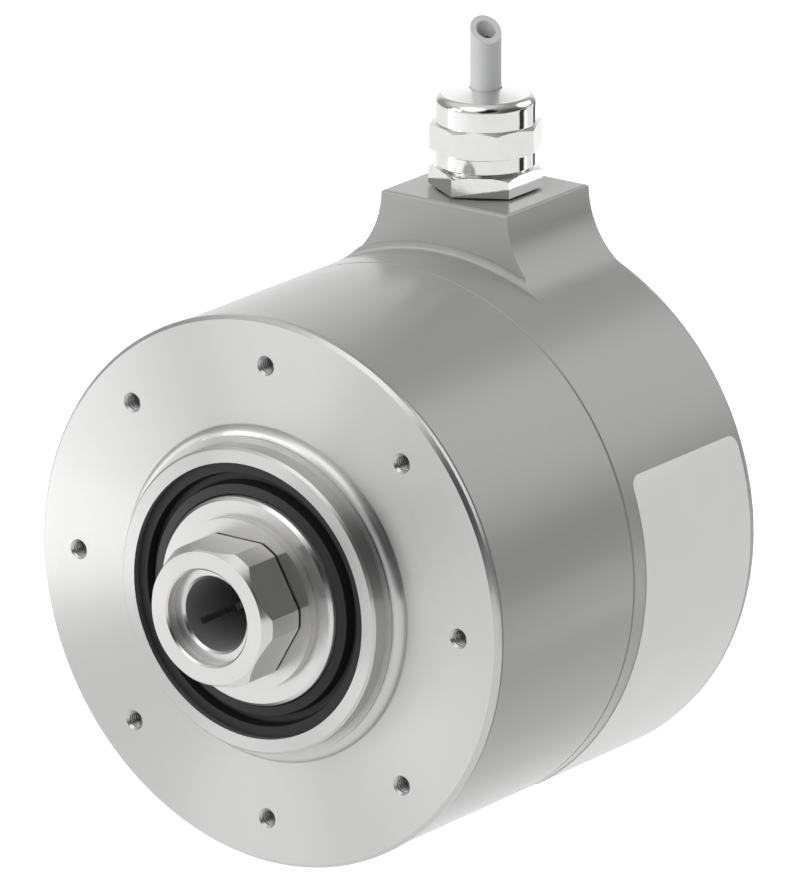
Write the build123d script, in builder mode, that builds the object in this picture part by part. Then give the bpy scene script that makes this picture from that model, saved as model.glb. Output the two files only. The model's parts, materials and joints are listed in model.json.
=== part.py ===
"""Incremental rotary encoder with a blind hollow shaft, a clamping nut and a radial cable.

Millimetres. The shaft axis is Y. The flange's front face lies at y = 0 and looks towards -Y,
the housing goes back to +Y, and the cable gland stands on top of it, towards +Z.
"""

import os
from math import cos, pi, radians, sin, sqrt

from build123d import *

os.makedirs("parts", exist_ok=True)

# Fits and gaps
slip = 0.05             # radial gap of a piece that runs or slides in another
seat = 0.02             # radial gap of a piece that sits still in another
thread_gap = 0.03       # radial gap between a plain thread and its hole

# Hollow shaft, from its blind bore outwards
shaft_bore_radius = 6.0
disc_seat_wall = 6.0
bearing_seat_step = 3.0
collar_step = 2.0
collar_reach = 0.5      # the collar stands this far out of the flange's spigot
collar_chamfer = 0.5
nose_step = 1.0
nose_step_length = 1.5
nose_wall = 1.4
nose_length = 4.5
shaft_tail = 6.0        # from the code disc's seat to the shaft's back end
bore_end_length = 6.0   # from the end of the full bore to the shaft's back end

# Clamping nut and collet
nut_across_flats = 22.0
nut_length = 8.2
nut_gap = 0.3
nut_lip_length = 2.1
nut_lip_overlap = 0.9   # the nut's lip covers this much of the collet's collar
nut_lip_chamfer = 0.3
nut_chamfer_length = 1.5
nut_face_inset = 0.2
nut_corner_trim = 0.8   # turned off the six corners
collet_wall = 1.5
collet_tip_wall = 0.8
collet_collar_step = 1.2
collet_collar_length = 1.8
collet_length = 13.28
collet_cone_length = 1.9
collet_end_gap = 0.5
collet_mouth_chamfer = 0.4
collet_slit_count = 3
collet_slit_width = 1.0
collet_slit_inset = 3.38
slit_overrun = 1.0      # a slit's cutter goes this far past the piece

# Bearings
bearing_width = 7.0
bearing_distance = 21.0
race_wall = 2.0         # from a race's seat to its shoulder
race_land = 1.0         # from the ball circle to the shoulder of either race
ball_radius = 1.75
ball_count = 12
groove_gap = 0.05
cage_wall = 1.5
cage_width = 5.0
pocket_gap = 0.1
spacer_wall = 1.6

# Retaining rings
ring_thickness = 1.2
ring_groove_depth = 0.9
ring_wall = 2.2
ring_axial_gap = 0.05
ring_mouth = 6.0
ring_eye_radius = 0.7

# Shaft seal: case band, web, dust lip in front and sealing lip behind
seal_section = 5.5      # from the shaft's collar to the seal's bore
seal_length = 7.3
seal_recess = 1.1
seal_case_wall = 1.5
seal_rim_width = 1.8
seal_draft = 0.4
seal_front_hollow = 1.5
seal_back_hollow = 4.2
dust_lip_width = 1.8
dust_lip_reach = 0.6
dust_lip_edge = 0.3
dust_lip_drop = 0.2
lip_relief = 0.9
sealing_lip_width = 1.3
sealing_lip_root = 3.8
sealing_lip_start = 2.0
sealing_lip_end = 1.6
sealing_lip_inset = 0.7
sealing_lip_bevel = 0.6
spring_seat_start = 3.1
spring_seat_shoulder = 2.0
spring_centre_inset = 1.8
spring_wire_radius = 0.6

# Flange with its centring spigot, tapped holes, bearing hub and carrier ring
spigot_front = -5.0
spigot_wall = 2.5
spigot_chamfer = 0.4
spigot_foot_step = 1.0
spigot_foot_land = 0.4
spigot_foot_fillet = 1.6
rim_step = 0.2          # the rim stands this far out of the housing
rim_length = 1.3        # bare rim that shows in front of the housing
rim_groove_length = 0.4
rim_groove_depth = 1.0
rim_chamfer = 0.6
register_back = 9.0
tapped_hole_count = 8
tapped_hole_inset = 7.5     # from the rim to the holes' circle
tapped_hole_radius = 1.25
tapped_hole_mouth = 1.65
tapped_hole_depth = 7.0
bearing_stop_length = 2.6   # wall between the seal and the front bearing
bearing_stop_depth = 2.6
hub_wall = 5.0
carrier_ring_length = 4.0
carrier_recess = 4.0    # from the rear bearing to the carrier ring's back
carrier_gap = 0.65

# Code disc with its hub and clamping ring
disc_gap = 6.0          # from the carrier ring to the disc
disc_hub_flange = 3.0
disc_hub_neck_length = 5.0
disc_hub_neck_wall = 2.5
disc_pilot_wall = 5.5
disc_pilot_length = 1.4
disc_ledge = 2.5
disc_track = 8.0
disc_thickness = 1.5
disc_ring_thickness = 1.5
disc_screw_step = 3.2
disc_screw_count = 3
disc_screw_radius = 0.8
disc_screw_length = 4.0
disc_screw_head_radius = 1.5
disc_screw_head_length = 1.2

# Circuit board on its standoffs
board_gap = 2.0         # from the shaft's end to the board
board_thickness = 1.6
board_inset = 2.0
standoff_step = 4.0     # from the disc's edge to the standoffs' circle
standoff_across_flats = 5.5
standoff_angles = (90.0, 210.0, 330.0)
board_screw_radius = 1.5
board_screw_length = 6.0
board_screw_head_radius = 2.75
board_screw_head_length = 2.0

# Optics, below the shaft
track_inset = 3.8
optic_width = 10.0
optic_height = 6.4
lamp_gap = 1.4
lens_radius = 2.2
lens_recess = 1.8
lens_crown = 0.9
mask_thickness = 0.5
mask_gap = 0.6

# Chips and connector on the back of the board: centre x, centre z, width, height
chip_places = ((-14.0, 4.0, 10.0, 7.0), (13.0, -5.0, 7.0, 7.0), (-3.0, -17.0, 6.0, 4.0))
chip_thickness = 1.5
connector_width = 12.0
connector_height = 8.0
connector_length = 8.0
connector_bottom = 20.0

# Screws that pull the rear cover onto the sleeve
tie_step = 2.5          # from the standoffs' circle to the screws' circle
tie_edge = 3.5
tie_angles = (30.0, 150.0, 270.0)
tie_radius = 2.0
tie_clearance = 0.2
tie_engagement = 3.4
tie_notch_gap = 1.0
tie_head_radius = 3.5
tie_head_length = 4.0
tie_head_recess = 0.5
tie_pillar_radius = 4.6
tie_pillar_length = 9.0
socket_across_flats = 3.0
socket_depth = 2.0

# Housing sleeve and rear cover
housing_wall = 3.8
seam_y = 36.9
seam_chamfer = 0.25
rear_room = 13.9        # free depth behind the circuit board
cover_back_wall = 3.5
cover_edge_fillet = 1.8
lip_length = 5.6
lip_wall = 2.3
lip_root_length = 2.0

# Sealing rings between the housing pieces
o_ring_cord = 1.5
o_ring_groove_width = 2.2
flange_o_ring_inset = 3.5

# Cable boss on the rear cover
boss_half_width = 12.4
boss_rise = 8.2
boss_length = 22.2
boss_setback = 1.8      # from the cover's back to the boss's back
boss_edge_fillet = 0.5
boss_foot_fillet = 1.2
boss_foot_root = 1.0
boss_roof = 6.0
boss_side_wall = 4.4

# Name plate
label_thickness = 0.12
label_seam_gap = 3.3
label_back_gap = 2.3
label_start = 68.0      # degrees from the top, towards +X
label_arc = 82.0
label_corner = 2.0

# Cable, from its cores outwards
core_radius = 0.45
core_spacing = 0.08
core_gap = 0.12
core_recess = 1.5
jacket_wall = 0.95
cable_tail = 2.2        # below the gland's thread
cable_stub = 9.6        # above the gland
cable_cut_tilt = 34.0
cable_cut_bearing = -35.0   # downhill direction of the cut, in degrees from +X

# Cable gland, from the cable outwards
gland_setback = 11.0    # from the boss's back to the gland's axis
gland_seal_wall = 2.0
gland_seal_height = 6.2
gland_cage_wall = 1.1
gland_neck_wall = 1.4
gland_neck_height = 5.8
gland_skirt_wall = 1.1
gland_skirt_step = 0.1
gland_skirt_height = 2.2
gland_bore_gap = 1.1
gland_thread_wall = 2.35
gland_thread_length = 7.2
gland_gasket_height = 0.4
gland_hex_height = 3.2
gland_hex_chamfer = 0.5
gland_hex_turn = 30.0
gland_nut_sides = 8
gland_nut_turn = 2.5
gland_nut_flat_step = 0.4   # the nut's flats stand proud of its skirt
gland_nut_gap = 0.7     # bare thread that shows between the hexagon and the nut
gland_nut_hex_height = 4.7
gland_nut_room = 0.8
gland_crown_height = 5.3
gland_crown_straight = 3.0
gland_crown_rounding = 1.5
gland_mouth_gap = 0.12
gland_mouth_length = 1.2
gland_cone_gap = 0.7
gland_cone_clearance = 0.3
gland_finger_count = 8
gland_finger_slit = 0.6
gland_finger_root = 2.0
gland_finger_reach = 1.0
gland_finger_shoulder = 0.4
gland_finger_tip = 0.5

# Radii about the shaft axis, worked out from the bore outwards
disc_seat_radius = shaft_bore_radius + disc_seat_wall
bearing_bore_radius = disc_seat_radius + bearing_seat_step
nose_step_radius = bearing_bore_radius - nose_step
collar_radius = bearing_bore_radius + collar_step
ball_circle = bearing_bore_radius + race_wall + race_land
bearing_outer_radius = ball_circle + race_land + race_wall
bearing_stop_radius = bearing_outer_radius - bearing_stop_depth
hub_radius = bearing_outer_radius + hub_wall
seal_bore_radius = collar_radius + seal_section
spigot_radius = seal_bore_radius + spigot_wall
spigot_foot_radius = spigot_radius + spigot_foot_step
collet_radius = shaft_bore_radius + collet_wall
collet_tip_radius = shaft_bore_radius + collet_tip_wall
collet_collar_radius = collet_radius + collet_collar_step
nose_radius = collet_radius + slip + nose_wall
nut_lip_radius = collet_collar_radius - nut_lip_overlap
nut_corner_radius = nut_across_flats / sqrt(3)
disc_hub_neck_radius = disc_seat_radius + disc_hub_neck_wall
disc_screw_circle_radius = disc_seat_radius + disc_screw_step
disc_pilot_radius = disc_seat_radius + disc_pilot_wall
disc_hub_radius = disc_pilot_radius + disc_ledge
disc_radius = disc_hub_radius + disc_track
optic_radius = disc_radius - track_inset
standoff_circle_radius = disc_radius + standoff_step
tie_circle_radius = standoff_circle_radius + tie_step
carrier_ring_radius = tie_circle_radius + tie_edge
board_radius = carrier_ring_radius - board_inset
lip_bore_radius = carrier_ring_radius + carrier_gap
register_radius = lip_bore_radius + lip_wall
sleeve_bore = register_radius + slip
o_ring_floor = sleeve_bore - o_ring_cord - 2 * seat
housing_radius = sleeve_bore + housing_wall
flange_radius = housing_radius + rim_step
tapped_circle_radius = flange_radius - tapped_hole_inset

# Places along the shaft axis, worked out from the spigot backwards
collar_front = spigot_front - collar_reach
nose_step_front = collar_front - nose_step_length
nose_front = nose_step_front - nose_length
nut_back = nose_step_front - nut_gap
nut_front = nut_back - nut_length
collet_front = nut_front + nut_lip_length + seat
collet_back = collet_front + collet_length
collet_slit_front = collet_front + collet_slit_inset
collet_seat_back = collet_back + collet_end_gap
seal_front = spigot_front + seal_recess
seal_back = seal_front + seal_length
spigot_foot_front = -spigot_foot_fillet - spigot_foot_land
sleeve_front = rim_length + rim_groove_length
flange_o_ring_y = register_back - flange_o_ring_inset
front_bearing_y = seal_back + bearing_stop_length
rear_bearing_y = front_bearing_y + bearing_distance
stack_back = rear_bearing_y + bearing_width
ring_groove_length = ring_thickness + 2 * ring_axial_gap
carrier_back = stack_back + carrier_recess
disc_face_y = carrier_back + disc_gap
disc_back = disc_face_y + disc_thickness
disc_screw_seat = disc_back + disc_ring_thickness
disc_hub_front = disc_face_y - disc_hub_flange - disc_hub_neck_length
lamp_back = disc_face_y - lamp_gap
mask_front = disc_back + mask_gap
shaft_back = disc_face_y + shaft_tail
shaft_bore_depth_y = shaft_back - bore_end_length
board_front = shaft_back + board_gap
board_back = board_front + board_thickness
cover_floor = board_back + rear_room
cover_back = cover_floor + cover_back_wall
head_seat = cover_back - tie_head_recess - tie_head_length
tie_front = carrier_back - tie_engagement
lip_front = seam_y - lip_length
cover_o_ring_y = seam_y - lip_length / 2
boss_back = cover_back - boss_setback
boss_front = boss_back - boss_length
label_front = seam_y + label_seam_gap
label_back = cover_back - label_back_gap
gland_y = boss_back - gland_setback

# Cable boss
boss_top = housing_radius + boss_rise
pocket_half_width = boss_half_width - boss_side_wall

# Cable and gland, worked out from the cores outwards and from the boss upwards
core_circle_radius = 2 * core_radius + core_spacing
cable_bore_radius = core_circle_radius + core_radius + core_gap
cable_radius = cable_bore_radius + jacket_wall
gland_mouth_radius = cable_radius + gland_mouth_gap
gland_bore_radius = cable_radius + gland_bore_gap
gland_thread_radius = gland_bore_radius + gland_thread_wall
gland_seal_radius = cable_radius + gland_seal_wall
gland_cup_radius = gland_seal_radius + gland_cage_wall
gland_neck_radius = gland_cup_radius + gland_neck_wall
gland_skirt_radius = gland_neck_radius + gland_skirt_wall
gland_across_flats = 2 * (gland_skirt_radius - gland_skirt_step)
gland_corner_radius = gland_across_flats / sqrt(3)
gland_nut_flat_radius = gland_skirt_radius + gland_nut_flat_step
gland_nut_corner_radius = gland_nut_flat_radius / cos(pi / gland_nut_sides)
gland_crown_top_radius = gland_skirt_radius - gland_crown_rounding
gland_hex_bottom = boss_top + gland_gasket_height
gland_hex_top = gland_hex_bottom + gland_hex_height
gland_neck_top = gland_hex_top + gland_neck_height
gland_finger_top = gland_hex_top + gland_seal_height + gland_finger_reach
gland_nut_bottom = gland_hex_top + gland_nut_gap
gland_skirt_top = gland_nut_bottom + gland_skirt_height
gland_nut_hex_top = gland_skirt_top + gland_nut_hex_height
gland_crown_shoulder = gland_nut_hex_top + gland_crown_straight
gland_crown_edge = gland_crown_shoulder + gland_crown_rounding
gland_top = gland_nut_hex_top + gland_crown_height
gland_axis = Axis((0, gland_y, 0), (0, 0, 1))
gland_section = Plane.XZ.offset(-gland_y)
connector_top = connector_bottom + connector_height
cable_bottom = gland_hex_bottom - gland_thread_length - cable_tail
cable_cut_z = gland_top + cable_stub
core_top = cable_cut_z - core_recess


def across(y):
    """Plane square to the shaft axis: x to the right and z up as seen from the flange's front."""
    return Plane.XZ.offset(-y)


def level(z):
    """Plane square to the gland's axis at height z."""
    return Plane((0, gland_y, z))


def export(part, name):
    part.label = name
    export_step(part, f"parts/{name}.step")


def turned_ring(name, inner, outer, front, back):
    """Plain ring about the shaft axis."""
    with BuildPart() as ring:
        with BuildSketch(across(front)):
            Circle(outer)
            Circle(inner, mode=Mode.SUBTRACT)
        extrude(amount=front - back)
    export(ring.part, name)


def o_ring(name, y):
    """Round-section sealing ring between a groove floor and the sleeve's bore."""
    centre = (o_ring_floor + sleeve_bore) / 2
    with BuildPart() as ring:
        with BuildSketch(Plane.XY):
            with Locations((centre, y)):
                Circle(o_ring_cord / 2)
        revolve(axis=Axis.Y)
    export(ring.part, name)


# Flange: turned plate, centring spigot, bearing hub and carrier ring in one piece
with BuildPart() as flange:
    with BuildSketch(Plane.XY):
        with BuildLine():
            Polyline(
                (seal_bore_radius, spigot_front),
                (spigot_radius - spigot_chamfer, spigot_front),
                (spigot_radius, spigot_front + spigot_chamfer),
                (spigot_radius, spigot_foot_front),
                (spigot_foot_radius, spigot_foot_front),
                (spigot_foot_radius, -spigot_foot_fillet),
            )
            RadiusArc(
                (spigot_foot_radius, -spigot_foot_fillet),
                (spigot_foot_radius + spigot_foot_fillet, 0),
                -spigot_foot_fillet,
            )
            Polyline(
                (spigot_foot_radius + spigot_foot_fillet, 0),
                (flange_radius - rim_chamfer, 0),
                (flange_radius, rim_chamfer),
                (flange_radius, rim_length),
                (flange_radius - rim_groove_depth, rim_length),
                (flange_radius - rim_groove_depth, sleeve_front),
                (register_radius, sleeve_front),
                (register_radius, flange_o_ring_y - o_ring_groove_width / 2),
                (o_ring_floor, flange_o_ring_y - o_ring_groove_width / 2),
                (o_ring_floor, flange_o_ring_y + o_ring_groove_width / 2),
                (register_radius, flange_o_ring_y + o_ring_groove_width / 2),
                (register_radius, register_back),
                (hub_radius, register_back),
                (hub_radius, carrier_back - carrier_ring_length),
                (carrier_ring_radius, carrier_back - carrier_ring_length),
                (carrier_ring_radius, carrier_back),
                (bearing_outer_radius, carrier_back),
                (bearing_outer_radius, stack_back + ring_groove_length),
                (bearing_outer_radius + ring_groove_depth, stack_back + ring_groove_length),
                (bearing_outer_radius + ring_groove_depth, stack_back),
                (bearing_outer_radius, stack_back),
                (bearing_outer_radius, front_bearing_y),
                (bearing_stop_radius, front_bearing_y),
                (bearing_stop_radius, seal_back + seat),
                (seal_bore_radius, seal_back + seat),
                (seal_bore_radius, spigot_front),
            )
        make_face()
    revolve(axis=Axis.Y)
    with Locations(across(0)):
        with PolarLocations(tapped_circle_radius, tapped_hole_count, start_angle=90):
            CounterSinkHole(tapped_hole_radius, tapped_hole_mouth, tapped_hole_depth, 90)
    with BuildSketch(across(carrier_back)):
        for angle in tie_angles:
            with PolarLocations(tie_circle_radius, 1, start_angle=angle):
                Circle(tie_radius + thread_gap)
        for angle in standoff_angles:
            with PolarLocations(standoff_circle_radius, 1, start_angle=angle):
                Circle(board_screw_radius + thread_gap)
    extrude(amount=carrier_ring_length, mode=Mode.SUBTRACT)
export(flange.part, "flange")

# Housing sleeve between the flange and the rear cover
with BuildPart() as front_housing:
    with BuildSketch(Plane.XY):
        with BuildLine():
            Polyline(
                (sleeve_bore, sleeve_front),
                (housing_radius - seam_chamfer, sleeve_front),
                (housing_radius, sleeve_front + seam_chamfer),
                (housing_radius, seam_y - seam_chamfer),
                (housing_radius - seam_chamfer, seam_y),
                (sleeve_bore, seam_y),
                close=True,
            )
        make_face()
    revolve(axis=Axis.Y)
export(front_housing.part, "front_housing")


# Outline of the cable boss: its sides start upright at the top and run out tangent to the housing
flare_radius = (boss_half_width**2 + boss_top**2 - housing_radius**2) / (
    2 * (housing_radius - boss_half_width)
)
flare_centre_x = boss_half_width + flare_radius
flare_reach = housing_radius / (housing_radius + flare_radius)
flare_foot_x = flare_centre_x * flare_reach
flare_foot_z = boss_top * flare_reach


def boss_outline():
    """Closed outline of the boss, square to the shaft axis, as wires of the sketch around it."""
    Line((-boss_half_width, boss_top), (boss_half_width, boss_top))
    RadiusArc((boss_half_width, boss_top), (flare_foot_x, flare_foot_z), -flare_radius)
    Line((flare_foot_x, flare_foot_z), (0, sleeve_bore / 2))
    Line((0, sleeve_bore / 2), (-flare_foot_x, flare_foot_z))
    RadiusArc((-flare_foot_x, flare_foot_z), (-boss_half_width, boss_top), -flare_radius)


# Rounded foot where the boss's front face meets the housing
with BuildPart() as boss_foot:
    with BuildSketch(Plane.XY):
        with BuildLine():
            Line(
                (housing_radius - boss_foot_root, boss_front),
                (housing_radius + boss_foot_fillet, boss_front),
            )
            RadiusArc(
                (housing_radius + boss_foot_fillet, boss_front),
                (housing_radius, boss_front - boss_foot_fillet),
                boss_foot_fillet,
            )
            Polyline(
                (housing_radius, boss_front - boss_foot_fillet),
                (housing_radius - boss_foot_root, boss_front - boss_foot_fillet),
                (housing_radius - boss_foot_root, boss_front),
            )
        make_face()
    revolve(axis=Axis.Y)
    with BuildSketch(across(boss_front)):
        with BuildLine():
            boss_outline()
        make_face()
    extrude(amount=boss_foot_fillet, mode=Mode.INTERSECT)

# Rear cover: cup with the cable boss, a lip that enters the sleeve, and pillars for its screws
with BuildPart() as rear_cover:
    with BuildSketch(Plane.XY):
        with BuildLine():
            Polyline(
                (0, seam_y),
                (housing_radius - seam_chamfer, seam_y),
                (housing_radius, seam_y + seam_chamfer),
                (housing_radius, cover_back),
                (0, cover_back),
                close=True,
            )
        make_face()
    revolve(axis=Axis.Y)
    fillet(rear_cover.edges().filter_by(GeomType.CIRCLE).group_by(Axis.Y)[-1], cover_edge_fillet)
    with BuildSketch(across(boss_front)):
        with BuildLine():
            boss_outline()
        make_face()
    extrude(amount=boss_front - boss_back)
    fillet(rear_cover.faces().sort_by(Axis.Z)[-1].edges(), boss_edge_fillet)
    add(boss_foot.part)
    with BuildSketch(Plane.XY):
        with BuildLine():
            Polyline(
                (0, seam_y),
                (lip_bore_radius, seam_y),
                (lip_bore_radius, seam_y + lip_root_length),
                (sleeve_bore, seam_y + lip_root_length + lip_wall),
                (sleeve_bore, cover_floor),
                (0, cover_floor),
                close=True,
            )
        make_face()
    revolve(axis=Axis.Y, mode=Mode.SUBTRACT)
    with BuildSketch(Plane.XY):
        with BuildLine():
            Polyline(
                (lip_bore_radius, seam_y),
                (lip_bore_radius, lip_front),
                (register_radius, lip_front),
                (register_radius, cover_o_ring_y - o_ring_groove_width / 2),
                (o_ring_floor, cover_o_ring_y - o_ring_groove_width / 2),
                (o_ring_floor, cover_o_ring_y + o_ring_groove_width / 2),
                (register_radius, cover_o_ring_y + o_ring_groove_width / 2),
                (register_radius, seam_y),
                close=True,
            )
        make_face()
    revolve(axis=Axis.Y)
    with BuildSketch(across(cover_floor)):
        for angle in tie_angles:
            with PolarLocations(tie_circle_radius, 1, start_angle=angle):
                Circle(tie_pillar_radius)
    extrude(amount=tie_pillar_length)
    for angle in tie_angles:
        with Locations(across(cover_back)):
            with PolarLocations(tie_circle_radius, 1, start_angle=angle):
                Cylinder(
                    tie_radius + tie_clearance,
                    cover_back_wall + tie_pillar_length,
                    align=(Align.CENTER, Align.CENTER, Align.MIN),
                    mode=Mode.SUBTRACT,
                )
                Cylinder(
                    tie_head_radius + tie_clearance,
                    cover_back - head_seat,
                    align=(Align.CENTER, Align.CENTER, Align.MIN),
                    mode=Mode.SUBTRACT,
                )
    with BuildSketch(level(boss_top - boss_roof)):
        Rectangle(2 * pocket_half_width, 2 * pocket_half_width)
    extrude(amount=sleeve_bore / 2 + boss_roof - boss_top, mode=Mode.SUBTRACT)
    with BuildSketch(level(boss_top)):
        Circle(gland_thread_radius + thread_gap)
    extrude(amount=-boss_roof, mode=Mode.SUBTRACT)
export(rear_cover.part, "rear_cover")

o_ring("flange_o_ring", flange_o_ring_y)
o_ring("cover_o_ring", cover_o_ring_y)

# Name plate stuck on the rear cover
with BuildPart() as label:
    with BuildSketch(Plane.XY.rotated((0, label_start - 90, 0))):
        with Locations((housing_radius + label_thickness / 2, (label_front + label_back) / 2)):
            Rectangle(label_thickness, label_back - label_front)
    revolve(axis=Axis.Y, revolution_arc=label_arc)
    fillet(label.edges().filter_by(lambda edge: edge.length < 2 * label_thickness), label_corner)
export(label.part, "label")

# Rotary shaft seal: outer case band, dust lip in front and sealing lip behind
case_radius = seal_bore_radius - seat
lip_radius = collar_radius + slip
with BuildPart() as shaft_seal:
    with BuildSketch(Plane.XY):
        with BuildLine():
            Polyline(
                (case_radius, seal_front),
                (case_radius - seal_rim_width, seal_front),
                (case_radius - seal_rim_width - seal_draft, seal_front + seal_front_hollow),
                (lip_radius + dust_lip_width + seal_draft, seal_front + seal_front_hollow),
                (lip_radius + dust_lip_width, seal_front - dust_lip_drop),
                (lip_radius + dust_lip_edge, seal_front - dust_lip_reach),
                (lip_radius, seal_front - dust_lip_edge),
                (lip_radius, seal_front),
                (lip_radius + lip_relief, seal_front + seal_front_hollow),
                (lip_radius + lip_relief, seal_back - sealing_lip_root),
                (lip_radius, seal_back - sealing_lip_start),
                (lip_radius, seal_back - sealing_lip_end),
                (lip_radius + sealing_lip_bevel, seal_back - sealing_lip_inset),
                (lip_radius + sealing_lip_width, seal_back - sealing_lip_inset),
                (lip_radius + sealing_lip_width, seal_back - spring_seat_start),
                (lip_radius + spring_seat_shoulder, seal_back - seal_back_hollow),
                (case_radius - seal_case_wall, seal_back - seal_back_hollow),
                (case_radius - seal_case_wall, seal_back),
                (case_radius, seal_back),
                close=True,
            )
        make_face()
    revolve(axis=Axis.Y)
export(shaft_seal.part, "shaft_seal")

# Garter spring that closes the sealing lip
spring_circle_radius = lip_radius + sealing_lip_width + seat + spring_wire_radius
with BuildPart() as seal_garter_spring:
    with BuildSketch(Plane.XY):
        with Locations((spring_circle_radius, seal_back - spring_centre_inset)):
            Circle(spring_wire_radius)
    revolve(axis=Axis.Y)
export(seal_garter_spring.part, "seal_garter_spring")


def race(name, wall_radius, land_radius, front):
    """Bearing race from its seat to its shoulder, with the ball groove in the shoulder."""
    with BuildPart() as ring:
        with BuildSketch(Plane.XY):
            with Locations(((wall_radius + land_radius) / 2, front + bearing_width / 2)):
                Rectangle(abs(land_radius - wall_radius), bearing_width)
            with Locations((ball_circle, front + bearing_width / 2)):
                Circle(ball_radius + groove_gap, mode=Mode.SUBTRACT)
        revolve(axis=Axis.Y)
    export(ring.part, name)


def balls(name, front):
    """One row of balls."""
    with BuildPart() as row:
        with Locations(across(front + bearing_width / 2)):
            with PolarLocations(ball_circle, ball_count):
                Sphere(ball_radius)
    export(row.part, name)


def cage(name, front):
    """Ball cage: a ring drilled through from the side for each ball."""
    middle = front + bearing_width / 2
    with BuildPart() as ring:
        with BuildSketch(across(middle)):
            Circle(ball_circle + cage_wall / 2)
            Circle(ball_circle - cage_wall / 2, mode=Mode.SUBTRACT)
        extrude(amount=cage_width / 2, both=True)
        with Locations(across(middle)):
            with PolarLocations(ball_circle, ball_count):
                Cylinder(
                    ball_radius + pocket_gap,
                    2 * cage_wall,
                    rotation=(0, 90, 0),
                    mode=Mode.SUBTRACT,
                )
    export(ring.part, name)


for end, bearing_front in (("front", front_bearing_y), ("rear", rear_bearing_y)):
    race(
        f"{end}_bearing_outer_race",
        bearing_outer_radius - seat,
        ball_circle + race_land,
        bearing_front,
    )
    race(
        f"{end}_bearing_inner_race",
        bearing_bore_radius + seat,
        ball_circle - race_land,
        bearing_front,
    )
    balls(f"{end}_bearing_balls", bearing_front)
    cage(f"{end}_bearing_cage", bearing_front)

# Spacers that keep the two bearings apart
turned_ring(
    "bearing_outer_spacer",
    bearing_outer_radius - seat - spacer_wall,
    bearing_outer_radius - seat,
    front_bearing_y + bearing_width,
    rear_bearing_y,
)
turned_ring(
    "bearing_inner_spacer",
    bearing_bore_radius + seat,
    bearing_bore_radius + seat + spacer_wall,
    front_bearing_y + bearing_width,
    rear_bearing_y,
)


def retaining_ring(name, inner, outer, eye_circle):
    """Open retaining ring behind the rear bearing, with an eye at each end."""
    eye_angle = 360 * (ring_mouth / 2 + 2 * ring_eye_radius) / (2 * pi * eye_circle)
    with BuildPart() as ring:
        with BuildSketch(across(stack_back + ring_axial_gap)):
            Circle(outer)
            Circle(inner, mode=Mode.SUBTRACT)
            with Locations((0, (inner + outer) / 2)):
                Rectangle(ring_mouth, 2 * (outer - inner), mode=Mode.SUBTRACT)
            for angle in (90 - eye_angle, 90 + eye_angle):
                with PolarLocations(eye_circle, 1, start_angle=angle):
                    Circle(ring_eye_radius, mode=Mode.SUBTRACT)
        extrude(amount=-ring_thickness)
    export(ring.part, name)


retaining_ring(
    "bearing_retaining_ring",
    bearing_outer_radius - seat - ring_wall,
    bearing_outer_radius + ring_groove_depth - seat,
    bearing_outer_radius - ring_wall / 2,
)
retaining_ring(
    "shaft_circlip",
    bearing_bore_radius - ring_groove_depth + seat,
    bearing_bore_radius + seat + ring_wall,
    bearing_bore_radius + ring_wall / 2,
)

# Hollow shaft: collar under the seal, bearing seat, disc seat, threaded nose and blind bore
with BuildPart() as hollow_shaft:
    with BuildSketch(Plane.XY):
        with BuildLine():
            Polyline(
                (collet_radius + slip, nose_front),
                (nose_radius, nose_front),
                (nose_radius, nose_step_front),
                (nose_step_radius, nose_step_front),
                (nose_step_radius, collar_front),
                (collar_radius - collar_chamfer, collar_front),
                (collar_radius, collar_front + collar_chamfer),
                (collar_radius, front_bearing_y),
                (bearing_bore_radius, front_bearing_y),
                (bearing_bore_radius, stack_back),
                (bearing_bore_radius - ring_groove_depth, stack_back),
                (bearing_bore_radius - ring_groove_depth, stack_back + ring_groove_length),
                (bearing_bore_radius, stack_back + ring_groove_length),
                (bearing_bore_radius, disc_hub_front),
                (disc_seat_radius, disc_hub_front),
                (disc_seat_radius, shaft_back),
                (0, shaft_back),
                (0, shaft_bore_depth_y + shaft_bore_radius / sqrt(3)),
                (shaft_bore_radius, shaft_bore_depth_y),
                (shaft_bore_radius, collet_seat_back),
                (collet_tip_radius + slip, collet_seat_back),
                (collet_tip_radius + slip, collet_back),
                (collet_radius + slip, collet_back - collet_cone_length),
                close=True,
            )
        make_face()
    revolve(axis=Axis.Y)
export(hollow_shaft.part, "hollow_shaft")

# Collet: closed collar in front, slit fingers behind with a cone that closes them on the shaft
with BuildPart() as collet:
    with BuildSketch(Plane.XY):
        with BuildLine():
            Polyline(
                (shaft_bore_radius + collet_mouth_chamfer, collet_front),
                (collet_collar_radius, collet_front),
                (collet_collar_radius, collet_front + collet_collar_length),
                (collet_radius, collet_front + collet_collar_length),
                (collet_radius, collet_back - collet_cone_length),
                (collet_tip_radius, collet_back),
                (shaft_bore_radius, collet_back),
                (shaft_bore_radius, collet_front + collet_mouth_chamfer),
                close=True,
            )
        make_face()
    revolve(axis=Axis.Y)
    with BuildSketch(across(collet_back)):
        with PolarLocations(collet_radius / 2 + slit_overrun, collet_slit_count, start_angle=90):
            Rectangle(collet_radius + 2 * slit_overrun, collet_slit_width)
    extrude(amount=collet_back - collet_slit_front, mode=Mode.SUBTRACT)
export(collet.part, "collet")

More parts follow.
